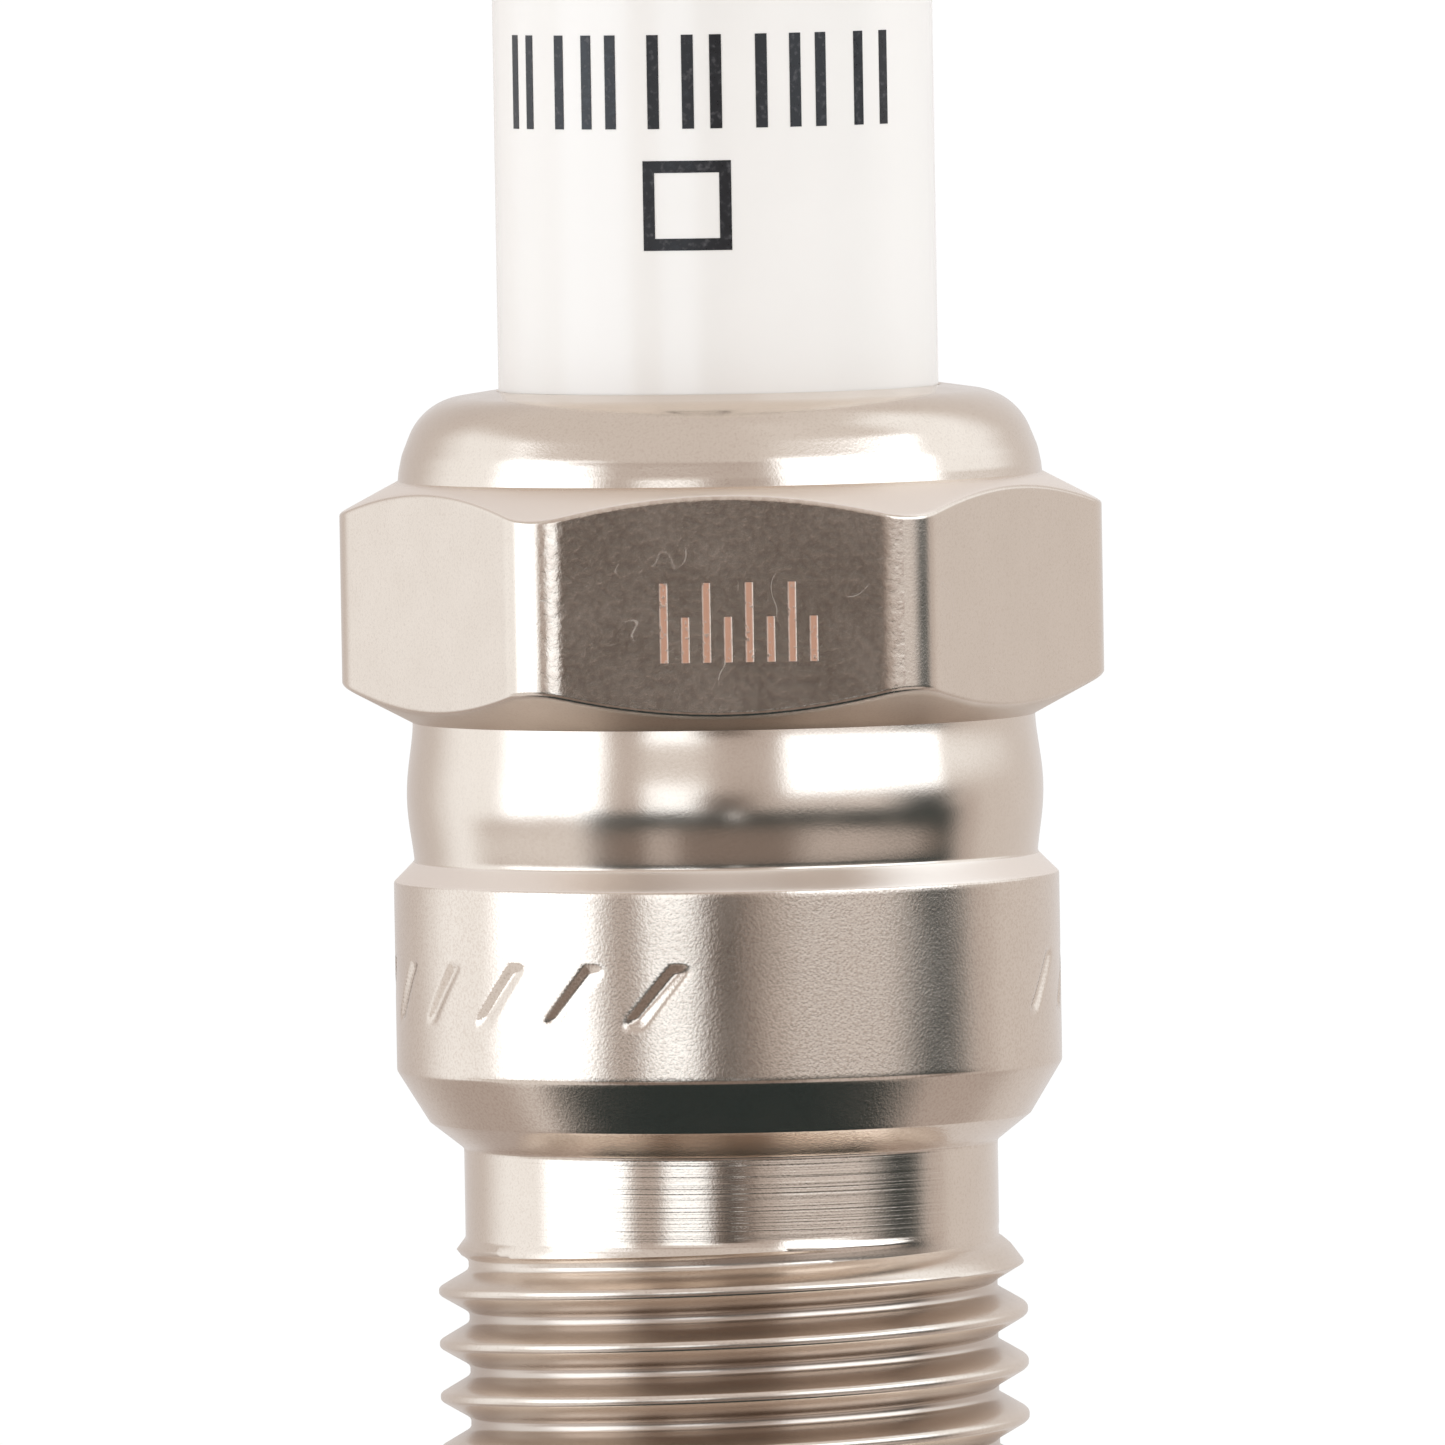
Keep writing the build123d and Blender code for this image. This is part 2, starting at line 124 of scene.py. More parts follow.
# Rolled marks on the seat body
MARK_COUNT = 19
MARK_STEP = radians(15.4)
MARK_FIRST = radians(-12.4)
MARK_Z = 2.74
MARK_HALF_HEIGHT = 0.72
MARK_LEAN = 0.865
MARK_WIDTH = 0.56
MARK_DEPTH = 0.070
MARK_END = 0.12
MARK_WALL = 0.17

# Thread
PITCH = 1.25
MAJOR_R = 6.95
MINOR_R = 6.24
CREST_HALF_WIDTH = 0.095
CREST_PHASE_Z = -4.51
THREAD_HALF_ANGLE = radians(30)
THREAD_BLEND = 0.10
CREST_FALL = 0.5
RUNOUT_Z = -3.24
RUNOUT_SLOPE = 0.75
RUNOUT_LENGTH = 0.6
END_BLEND = 0.06
LEAD_IN_Z = -23.90

# Insulator
BARREL_R = 5.19
BURIED_R = 5.12
TRUNK_R = 4.38
RIB_COUNT = 5
RIB_PITCH = 2.1
RIB_LOWEST_Z = 31.2
RIB_VALLEY_R = 4.55
RIB_ROUNDING = 0.22
HEAD_R = 3.75
BARREL_FOOT_Z = 16.10
FLANGE_R = 6.35
FLANGE_TOP_Z = 9.60
FLANGE_FOOT_Z = 5.40
TRUNK_TOP_Z = 3.60
TRUNK_FOOT_Z = -11.75
NOSE_ROOT_R = 3.62
NOSE_TIP_R = 2.35
STUD_BORE_R = 2.05
ELECTRODE_BORE_R = 1.33
BORE_STEP_TOP_Z = -5.50
BORE_STEP_FOOT_Z = -6.30
INK_THICKNESS = 0.012
INK_COLUMN = 0.1

# Printed marks on the barrel: a row of plain strokes over one open frame
STROKES_Z = (22.95, 25.15)
STROKES_START = radians(-65)
STROKE_COUNT = 13
STROKE_GAPS = (0.38, 0.80, 0.55)
MARK_STROKE = 0.28
FRAME_Z = (20.10, 22.20)
FRAME_START = radians(-19)
FRAME_WIDTH = 2.10

# Etched ticks on the front flat of the hexagon
TICKS_Z = (10.56, 12.42)
TICKS_FIRST_X = -1.62
TICK_STEP = 0.50
TICK_WIDTH = 0.15
TICK_COUNT = 8
TICK_DROP = 0.80

# View, lamps and floor, in metres, watts and degrees above the horizon
VIEW_TARGET = Vector((-0.000035, 0, 0.00881))
VIEW_DISTANCE = 0.68
VIEW_WIDTH = 0.03409
VIEW_HEIGHT = radians(2.5)
VIEW_ROLL = radians(0.95)
FILL_COUNT = 4
FILL_POWER = 0.04
FILL_HEIGHT = 20
FILL_SIZE = 0.5
FILL_DISTANCE = 0.8
FLOOR_RADIUS = 0.26
FLOOR_GAP = 0.00002
WHITE_GROUND = (1.02, 1.02, 1.02, 1)

# Mesh density: steps round the axis, and the widest gaps between points of a profile
RING_SEGMENTS = 720
THREAD_SEGMENTS = 240
INSULATOR_SEGMENTS = 224
ARC_GAP = 0.06
FINE_ARC_GAP = 0.04
CHAMFER_GAP = 0.034
SEAT_GAP = 0.10
COARSE_GAP = 0.5
BORE_GAP = 0.6
SHARP_ANGLE = radians(50)


# ---- Meshes ---------------------------------------------------------------------------


def rounded(corners, arc_gap=ARC_GAP):
    """Points along a profile of (radius, height, rounding) corners, with arcs at the rounded ones."""
    points = []
    last = len(corners) - 1
    for k, (r, z, rounding) in enumerate(corners):
        here = np.array((r, z))
        if rounding == 0 or k in (0, last):
            points.append(here)
            continue
        into = np.array(corners[k - 1][:2]) - here
        out = np.array(corners[k + 1][:2]) - here
        into, out = into / np.linalg.norm(into), out / np.linalg.norm(out)
        half = np.arccos(np.clip(into @ out, -1, 1)) / 2
        bisector = (into + out) / np.linalg.norm(into + out)
        centre = here + bisector * rounding / np.sin(half)
        start, end = here + into * rounding / np.tan(half), here + out * rounding / np.tan(half)
        steps = max(3, int((pi - 2 * half) * rounding / arc_gap))
        for t in np.linspace(0, 1, steps + 1):
            spoke = (start - centre) * (1 - t) + (end - centre) * t
            points.append(centre + spoke / np.linalg.norm(spoke) * rounding)
    return np.array(points)


def densified(points, gap):
    """The same profile with points added so that none are further apart than gap."""
    rows = [points[:1]]
    for a, b in zip(points[:-1], points[1:]):
        steps = max(1, int(np.ceil(np.linalg.norm(b - a) / gap)))
        rows.append(a + (b - a) * np.linspace(0, 1, steps + 1)[1:, None])
    return np.concatenate(rows)


def mesh_piece(name, vertices, faces, body, material):
    """A smooth-shaded mesh object, in metres, riding on a body."""
    mesh = bpy.data.meshes.new(name)
    mesh.from_pydata((np.asarray(vertices) * MM).tolist(), [], faces)
    mesh.polygons.foreach_set("use_smooth", [True] * len(mesh.polygons))
    mesh.set_sharp_from_angle(angle=SHARP_ANGLE)
    mesh.materials.append(material)
    piece = bpy.data.objects.new(name, mesh)
    bpy.context.scene.collection.objects.link(piece)
    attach(piece, body)
    return piece


def ring_faces(rows, segments, closed):
    """Quads over a grid of rows round the axis. A closed grid joins its last row to its first."""
    i = np.arange(rows if closed else rows - 1)[:, None]
    j = np.arange(segments)[None, :]
    below, beside = (i + 1) % rows, (j + 1) % segments
    quads = (i * segments + j, below * segments + j, below * segments + beside, i * segments + beside)
    return np.stack(np.broadcast_arrays(*quads), axis=-1).reshape(-1, 4).tolist()


def ring_grid(profile, segments):
    """Angle, radius and height arrays for a profile turned round the axis."""
    theta = np.linspace(0, 2 * pi, segments, endpoint=False)[None, :]
    radius = np.repeat(profile[:, :1], segments, axis=1)
    height = np.repeat(profile[:, 1:], segments, axis=1)
    return theta, radius, height


def ring_vertices(theta, radius, height):
    return np.stack([radius * np.cos(theta), radius * np.sin(theta), height], -1).reshape(-1, 3)


def weld(mesh):
    """Join vertices that lie in one place, which also drops the faces that have closed up."""
    work = bmesh.new()
    work.from_mesh(mesh)
    bmesh.ops.remove_doubles(work, verts=work.verts, dist=0.0005 * MM)
    work.to_mesh(mesh)
    work.free()
    mesh.set_sharp_from_angle(angle=SHARP_ANGLE)


def turned(name, corners, segments, body, material):
    """A closed solid turned from a closed profile that stays clear of the axis."""
    profile = densified(rounded(corners), COARSE_GAP)[:-1]
    theta, radius, height = ring_grid(profile, segments)
    faces = ring_faces(len(profile), segments, closed=True)
    return mesh_piece(name, ring_vertices(theta, radius, height), faces, body, material)


def smooth_min(a, b, blend):
    """The smaller of two surfaces, with their meeting edge rounded over."""
    h = np.clip(0.5 + 0.5 * (b - a) / blend, 0, 1)
    return b * (1 - h) + a * h - blend * h * (1 - h)


def smooth_max(a, b, blend):
    """The larger of two surfaces, with their meeting corner filled in."""
    return -smooth_min(-a, -b, blend)


def smooth_step(low, high, x):
    t = np.clip((x - low) / (high - low), 0, 1)
    return t * t * (3 - 2 * t)


# ---- Metal shell ----------------------------------------------------------------------


def hexagon_radius(theta):
    """Radius of the hexagonal prism, with its rounded corners, at each angle."""
    off_flat = np.abs((theta + pi / 2 + pi / 6) % (pi / 3) - pi / 6)
    inner_flat = HEX_FLAT_R - HEX_CORNER_RADIUS
    corner_centre = inner_flat / cos(pi / 6)
    tangent_angle = atan(inner_flat * tan(pi / 6) / HEX_FLAT_R)
    off_corner = pi / 6 - off_flat
    inside_root = np.clip(HEX_CORNER_RADIUS**2 - (corner_centre * np.sin(off_corner)) ** 2, 0, None)
    corner = corner_centre * np.cos(off_corner) + np.sqrt(inside_root)
    return np.where(off_flat < tangent_angle, HEX_FLAT_R / np.cos(off_flat), corner)


def shell_collar(material):
    """The crimped lip, the dome under it and the hexagon."""
    outside = rounded(
        [
            (LIP_R, LIP_INSIDE_Z, 0),
            (LIP_R + LIP_DRAFT, LIP_TOP_Z, 0.05),
            (*DOME_CREST, 0),
            (*DOME_SHOULDER, DOME_SHOULDER_RADIUS),
            (*DOME_FLANK, DOME_FLANK_RADIUS),
            (DOME_FOOT_R, DOME_FOOT_Z, 0),
            (DOME_FOOT_R + DOME_FLARE, HEX_TOP_Z, 0),
        ]
    )
    hexagon_z = (HEX_TOP_Z, HEX_TOP_Z - CHAMFER_REACH, HEX_FOOT_Z + CHAMFER_REACH, HEX_FOOT_Z)
    hexagon = np.array([(DOME_FOOT_R, z) for z in hexagon_z])
    gaps = (CHAMFER_GAP, COARSE_GAP, CHAMFER_GAP)
    stretches = [densified(hexagon[k : k + 2], gap)[1:] for k, gap in enumerate(gaps)]
    bore = np.array(
        [
            (NECK_R, HEX_FOOT_Z),
            (CHAMBER_R, HEX_FOOT_Z),
            (CHAMBER_R, CHAMBER_TOP_Z),
            (LIP_R, LIP_INSIDE_Z - 0.1),
        ]
    )
    profile = np.concatenate([densified(outside, ARC_GAP), *stretches, bore])
    theta, radius, height = ring_grid(profile, RING_SEGMENTS)
    slope = 1 / tan(HEX_CHAMFER)
    top_cone = DOME_FOOT_R + DOME_FLARE + (HEX_TOP_Z - height) * slope
    foot_cone = NECK_R + (height - HEX_FOOT_Z) * slope
    prism = smooth_min(hexagon_radius(theta), top_cone, TOP_EDGE_BLEND)
    prism = smooth_min(prism, foot_cone, FOOT_EDGE_BLEND)
    on_hexagon = (height <= HEX_TOP_Z) & (radius > OUTSIDE_R)
    radius = np.where(on_hexagon, np.maximum(prism, NECK_R), radius)
    faces = ring_faces(len(profile), RING_SEGMENTS, closed=True)
    piece = mesh_piece(
        "shell_collar", ring_vertices(theta, radius, height), faces, "plug", material
    )
    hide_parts("metal_shell")
    return piece


def rolled_marks(theta, height):
    """Depth of the rolled marks: a steep wall on the left and a ramp that rises to the right."""
    depth = np.zeros(np.broadcast(theta, height).shape)
    across = height - MARK_Z
    ends = smooth_step(-MARK_HALF_HEIGHT, -MARK_HALF_HEIGHT + MARK_END, across)
    ends = ends * (1 - smooth_step(MARK_HALF_HEIGHT - MARK_END, MARK_HALF_HEIGHT, across))
    for k in range(MARK_COUNT):
        centre = MARK_FIRST - k * MARK_STEP - pi / 2
        off = (theta - centre + pi) % (2 * pi) - pi
        along = off * SEAT_BODY_R - MARK_LEAN * across + MARK_WIDTH / 2
        wall = smooth_step(0, MARK_WALL, along)
        ramp = 1 - smooth_step(0.55 * MARK_WIDTH, 1.05 * MARK_WIDTH, along)
        depth = np.maximum(depth, MARK_DEPTH * ends * wall * ramp)
    return depth


def shell_seat(material):
    """The swaged neck, the seat body with its rolled marks and the conical seat."""
    cone = tan(SEAT_HALF_ANGLE)
    outside = rounded(
        [
            (NECK_R, HEX_FOOT_Z, 0),
            (NECK_R, NECK_FOOT_Z, 0.12),
            (SEAT_BODY_R, SEAT_BODY_TOP_Z, 0.10),
            (SEAT_BODY_R, (SEAT_BODY_R - GAUGE_R) / cone, 0.20),
            (SEAT_FOOT_R, (SEAT_FOOT_R - GAUGE_R) / cone, 0.10),
            (RELIEF_R, RELIEF_TOP_Z, 0.10),
            (RELIEF_R, SHANK_TOP_Z, 0),
        ],
        arc_gap=FINE_ARC_GAP,
    )
    foot_z = outside[-1, 1]
    bore = np.array(
        [
            (TRUNK_BORE_R, foot_z),
            (TRUNK_BORE_R, TRUNK_BORE_TOP_Z),
            (CHAMBER_R, CHAMBER_FOOT_Z),
            (CHAMBER_R, HEX_FOOT_Z),
        ]
    )
    profile = np.concatenate([densified(outside, SEAT_GAP), bore])
    theta, radius, height = ring_grid(profile, RING_SEGMENTS)
    u = np.clip((height - NECK_BULGE_Z) / NECK_BULGE_HALF, -1, 1)
    radius = radius + np.where(radius > OUTSIDE_R, NECK_BULGE * (1 - u**2) ** 2, 0)
    radius = radius - np.where(radius > SEAT_BODY_R - 0.01, rolled_marks(theta, height), 0)
    faces = ring_faces(len(profile), RING_SEGMENTS, closed=True)
    piece = mesh_piece(
        "shell_seat", ring_vertices(theta, radius, height), faces, "plug", material
    )
    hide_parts("metal_shell")
    return piece


def thread_phases():
    """Rows over one pitch, crest to crest, as fractions of it: close together where it curves."""
    off_crest = np.array([0, 0.05, 0.085, 0.13, 0.27, 0.41, 0.45, 0.50, 0.56, 0.625]) / PITCH
    return np.concatenate([off_crest, 1 - off_crest[-2:0:-1]])


def thread_radius(phase):
    """Radius of the thread form at a phase, with a softened crest and a rounded root."""
    off_crest = np.minimum(phase, 1 - phase) * PITCH
    flank = MAJOR_R - (off_crest - CREST_HALF_WIDTH) / tan(THREAD_HALF_ANGLE)
    crest = MAJOR_R - CREST_FALL * off_crest**2
    return smooth_max(smooth_min(flank, crest, THREAD_BLEND), MINOR_R, THREAD_BLEND)


def thread_grid(top_z, foot_z):
    """The threaded outside, on a grid whose rows climb with the helix and stop at two flat circles."""
    phases = thread_phases()
    turns = int((top_z - foot_z) / PITCH) + 4
    rows = (np.arange(turns)[:, None] + phases[None, :]).reshape(-1, 1)
    theta = np.linspace(0, 2 * pi, THREAD_SEGMENTS, endpoint=False)[None, :]
    highest = CREST_PHASE_Z + PITCH * (np.ceil((top_z - CREST_PHASE_Z) / PITCH) + 1)
    height = highest - PITCH * rows + PITCH * (theta - pi) / (2 * pi)
    shallow = smooth_step(RUNOUT_Z - RUNOUT_LENGTH, RUNOUT_Z, height)
    form = np.maximum(thread_radius(rows % 1), MINOR_R + (RELIEF_R - MINOR_R) * shallow)
    runout = RELIEF_R + np.clip(RUNOUT_Z - height, 0, None) * RUNOUT_SLOPE
    lead_in = NOSE_R + np.clip(height - LEAD_IN_Z, 0, None)
    radius = smooth_min(smooth_min(form, runout, END_BLEND), lead_in, END_BLEND)
    plain = smooth_step(RUNOUT_Z, RUNOUT_Z + 0.2, height)
    radius = radius * (1 - plain) + RELIEF_R * plain
    radius = np.where(height < LEAD_IN_Z - 0.1, NOSE_R, radius)
    return theta, radius, np.clip(height, foot_z, top_z), len(phases)


def helical_faces(rows, segments, per_turn):
    """Quads over the helical grid. Past the last column, a row meets the row one turn above it."""
    i = np.arange(rows - 1)[:, None]
    j = np.arange(segments - 1)[None, :]
    corner = i * segments + j
    inside = np.stack([corner, corner + segments, corner + segments + 1, corner + 1], -1).reshape(-1, 4)
    last = np.arange(per_turn, rows - 1) * segments + segments - 1
    first = np.arange(rows - 1 - per_turn) * segments
    return np.concatenate([inside, np.stack([last, last + segments, first + segments, first], -1)])


def shell_thread(material):
    """The relief shank, the thread, the nose and the bore with its ledge."""
    top_z, foot_z = SHANK_TOP_Z, NOSE_Z + 0.2
    theta, radius, height, per_turn = thread_grid(top_z, foot_z)
    outside = ring_vertices(theta, radius, height)
    outside_faces = helical_faces(*radius.shape, per_turn)
    inner = rounded(
        [
            (NOSE_R, foot_z, 0),
            (NOSE_R, NOSE_Z, 0.19),
            (CAVITY_R, NOSE_Z, 0.12),
            (CAVITY_R, CAVITY_TOP_Z, 0.2),
            (LEDGE_R, LEDGE_FOOT_Z, 0.1),
            (LEDGE_R, LEDGE_TOP_Z - 0.54, 0),
            (TRUNK_BORE_R, LEDGE_TOP_Z, 0),
            (TRUNK_BORE_R, top_z, 0),
            (RELIEF_R, top_z, 0),
        ]
    )
    theta, radius, height = ring_grid(densified(inner, BORE_GAP), THREAD_SEGMENTS)
    inside = ring_vertices(theta, radius, height)
    inside_faces = np.array(ring_faces(*radius.shape, closed=False)) + len(outside)
    faces = np.concatenate([outside_faces, inside_faces]).tolist()
    vertices = np.concatenate([outside, inside])
    piece = mesh_piece("shell_thread", vertices, faces, "plug", material)
    weld(piece.data)
    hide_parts("metal_shell")
    return piece


# ---- Insulator ------------------------------------------------------------------------


def insulator_glazed(material):
    """The insulator, from its ribbed head down to its nose, with the bore for the conductors."""
    ribs = []
    for k in range(RIB_COUNT):
        z = RIB_LOWEST_Z + (RIB_COUNT - k) * RIB_PITCH
        ribs += [
            (BURIED_R, z - 0.25 * RIB_PITCH, RIB_ROUNDING),
            (RIB_VALLEY_R, z - 0.50 * RIB_PITCH, RIB_ROUNDING),
            (RIB_VALLEY_R, z - 0.75 * RIB_PITCH, RIB_ROUNDING),
            (BURIED_R, z - RIB_PITCH, RIB_ROUNDING),
        ]
    corners = [
        (STUD_BORE_R, INSULATOR_HIGH.z - 0.2, 0),
        (STUD_BORE_R, INSULATOR_HIGH.z, 0.19),
        (HEAD_R, INSULATOR_HIGH.z, 0.5),
        (BURIED_R, RIB_LOWEST_Z + RIB_COUNT * RIB_PITCH, 0.4),
        *ribs,
        (BARREL_R, RIB_LOWEST_Z - 0.25 * RIB_PITCH, RIB_ROUNDING),
        (BARREL_R, BARREL_FOOT_Z, 0.03),
        (BURIED_R, BARREL_FOOT_Z - 0.07, 0.03),
        (BURIED_R, FLANGE_TOP_Z, 0),
        (FLANGE_R, FLANGE_TOP_Z, 0.3),
        (FLANGE_R, FLANGE_FOOT_Z, 0.3),
        (TRUNK_R, TRUNK_TOP_Z, 0.3),
        (TRUNK_R, TRUNK_FOOT_Z, 0.05),
        (NOSE_ROOT_R, TRUNK_FOOT_Z - 0.55, 0.2),
        (NOSE_TIP_R, INSULATOR_LOW.z, 0.3),
        (ELECTRODE_BORE_R, INSULATOR_LOW.z, 0.1),
        (ELECTRODE_BORE_R, BORE_STEP_FOOT_Z, 0),
        (STUD_BORE_R, BORE_STEP_TOP_Z, 0),
        (STUD_BORE_R, INSULATOR_HIGH.z - 0.2, 0),
    ]
    piece = turned("insulator_glazed", corners, INSULATOR_SEGMENTS, "plug", material)
    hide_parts("insulator")
    return piece


def printed_patch(start, width, low_z, high_z):
    """Vertices and faces of a thin slab of ink on the barrel. Angles run from -Y towards +X."""
    columns = max(3, int(width / INK_COLUMN)) + 1
    theta = start - pi / 2 + np.linspace(0, width / BARREL_R, columns)
    inner, outer = BARREL_R - INK_THICKNESS, BARREL_R + INK_THICKNESS
    ring = [(inner, low_z), (outer, low_z), (outer, high_z), (inner, high_z)]
    vertices = [(r * cos(t), r * sin(t), z) for t in theta for r, z in ring]
    faces = [(3, 2, 1, 0), tuple(range(4 * columns - 4, 4 * columns))]
    for c in range(columns - 1):
        for k in range(4):
            near, beside = 4 * c + k, 4 * c + (k + 1) % 4
            faces.append((near, beside, beside + 4, near + 4))
    return vertices, faces


def printed_frame(start, width, low_z, high_z):
    """An open rectangle of ink, as four slabs that meet at its corners."""
    stroke = MARK_STROKE
    right = start + (width - stroke) / BARREL_R
    inner_start, inner_width = start + stroke / BARREL_R, width - 2 * stroke
    return [
        printed_patch(start, stroke, low_z, high_z),
        printed_patch(right, stroke, low_z, high_z),
        printed_patch(inner_start, inner_width, low_z, low_z + stroke),
        printed_patch(inner_start, inner_width, high_z - stroke, high_z),
    ]


def printed_marks(material):
    """A row of plain strokes round the barrel, unevenly spaced, with one open frame under it."""
    patches = printed_frame(FRAME_START, FRAME_WIDTH, *FRAME_Z)
    angle = STROKES_START
    for k in range(STROKE_COUNT):
        patches.append(printed_patch(angle, MARK_STROKE, *STROKES_Z))
        angle += (MARK_STROKE + STROKE_GAPS[k % len(STROKE_GAPS)]) / BARREL_R
    vertices, faces = [], []
    for patch_vertices, patch_faces in patches:
        base = len(vertices)
        vertices += patch_vertices
        faces += [tuple(base + v for v in face) for face in patch_faces]
    return mesh_piece("insulator_marks", vertices, faces, "plug", material)


# ---- Materials ------------------------------------------------------------------------


class Shader:
    """A small builder for one material's node tree."""

    def __init__(self, name):
        self.material = bpy.data.materials.new(name)
        self.material.use_nodes = True
        self.tree = self.material.node_tree
        self.surface = self.tree.nodes["Principled BSDF"]
        coordinates = self.add("ShaderNodeTexCoord").outputs
        self.place, self.facing = coordinates["Object"], coordinates["Normal"]

    def add(self, kind, inputs=None, **settings):
        node = self.tree.nodes.new(kind)
        for key, value in settings.items():
            setattr(node, key, value)
        for key, value in (inputs or {}).items():
            self.feed(node.inputs[key], value)
        return node

    def feed(self, socket, value):
        if isinstance(value, bpy.types.NodeSocket):
            self.tree.links.new(value, socket)
        else:
            socket.default_value = value

    def math(self, operation, a, b=0.0):
        return self.add("ShaderNodeMath", {0: a, 1: b}, operation=operation).outputs[0]

    def noise(self, size, detail=2.0, stretch=(1, 1, 1)):
        """Noise from 0 to 1 with features of a size in millimetres."""
        mapped = self.add("ShaderNodeMapping", {"Vector": self.place, "Scale": stretch}).outputs[0]
        settings = {"Vector": mapped, "Scale": 1 / (size * MM), "Detail": detail}
        return self.add("ShaderNodeTexNoise", settings).outputs["Fac"]

    def spread(self, value, low, high, low_out, high_out):
        """A value remapped from one range to another."""
        inputs = {"Value": value, "From Min": low, "From Max": high, "To Min": low_out, "To Max": high_out}
        return self.add("ShaderNodeMapRange", inputs).outputs[0]

    def blend(self, factor, a, b):
        node = self.add("ShaderNodeMix", data_type="RGBA")
        self.feed(node.inputs[0], factor)
        self.feed(node.inputs[6], a)
        self.feed(node.inputs[7], b)
        return node.outputs[2]

    def bump(self, height, depth, below=None):
        """A bump of a depth in millimetres, laid over another bump."""
        inputs = {"Height": height, "Strength": 1.0, "Distance": depth * MM}
        if below is not None:
            inputs["Normal"] = below
        return self.add("ShaderNodeBump", inputs).outputs[0]

    def finish(self, **sockets):
        names = {
            "colour": "Base Color",
            "metallic": "Metallic",
            "roughness": "Roughness",
            "normal": "Normal",
        }
        for key, value in sockets.items():
            self.feed(self.surface.inputs[names[key]], value)
        return self.material


NICKEL = (0.73, 0.63, 0.54, 1)
NICKEL_WORN = (0.68, 0.58, 0.49, 1)
NICKEL_SPECK = (0.57, 0.46, 0.38, 1)
# Painted highlight: the lighter colour painted onto nickel faces that turn up
NICKEL_PAINTED_HIGHLIGHT = (0.92, 0.83, 0.75, 1)
# Painted shade: the darker colour painted into the thread's roots
NICKEL_ROOT_SHADE = (0.54, 0.45, 0.38, 1)
ETCHED_COPPER = (0.74, 0.43, 0.30, 1)
# Stretches noise into fine lines that run round the axis
TURNING_LINES = (0.004, 0.004, 1)


def satin_nickel():
    """Bright nickel plating, shot-blasted on the seat body. Faces turned up get a painted highlight: their
    colour is painted lighter.
    """
    s = Shader("satin_nickel")
    z = s.add("ShaderNodeSeparateXYZ", {0: s.place}).outputs[2]
    facing = s.add("ShaderNodeSeparateXYZ", {0: s.facing}).outputs[2]
    grain, patches = s.noise(0.065, detail=2), s.noise(1.2, detail=4)
    blasted = s.spread(z, SEAT_BODY_TOP_Z * MM, NECK_FOOT_Z * MM, 1, 0.35)
    # Painted highlight mask: faces turned up are painted lighter, and made rougher
    painted_top_highlight = s.spread(facing, 0.45, 0.65, 0, 1)
    colour = s.blend(patches, NICKEL, NICKEL_WORN)
    specks = s.math("MULTIPLY", s.spread(grain, 0.45, 0.66, 0, 0.55), blasted)
    colour = s.blend(specks, colour, NICKEL_SPECK)
    rough = s.spread(patches, 0.3, 0.7, 0.15, 0.19)
    # The colour carries the painted highlight on faces turned up
    return s.finish(
        colour=s.blend(painted_top_highlight, colour, NICKEL_PAINTED_HIGHLIGHT),
        metallic=1.0,
        roughness=s.math("ADD", rough, s.math("MULTIPLY", painted_top_highlight, 0.15)),
        normal=s.bump(s.math("MULTIPLY", grain, blasted), 0.0026),
    )


def etched_ticks(s, x, z):
    """A row of plain ticks, long and short in turn: 1 on a tick and 0 off it."""
    along = s.math("DIVIDE", s.math("SUBTRACT", x, TICKS_FIRST_X * MM), TICK_STEP * MM)
    across = s.math("ABSOLUTE", s.math("SUBTRACT", s.math("FRACT", along), 0.5))
    stroke = s.spread(across, 0.35 * TICK_WIDTH / TICK_STEP, 0.65 * TICK_WIDTH / TICK_STEP, 1, 0)
    is_short = s.math("MODULO", s.math("FLOOR", along), 2)
    top = s.math("SUBTRACT", TICKS_Z[1] * MM, s.math("MULTIPLY", is_short, TICK_DROP * MM))
    inside = s.math("MULTIPLY", s.math("LESS_THAN", z, top), s.math("GREATER_THAN", z, TICKS_Z[0] * MM))
    in_row = s.math("MULTIPLY", s.math("GREATER_THAN", along, 0), s.math("LESS_THAN", along, TICK_COUNT))
    return s.math("MULTIPLY", s.math("MULTIPLY", stroke, inside), in_row)


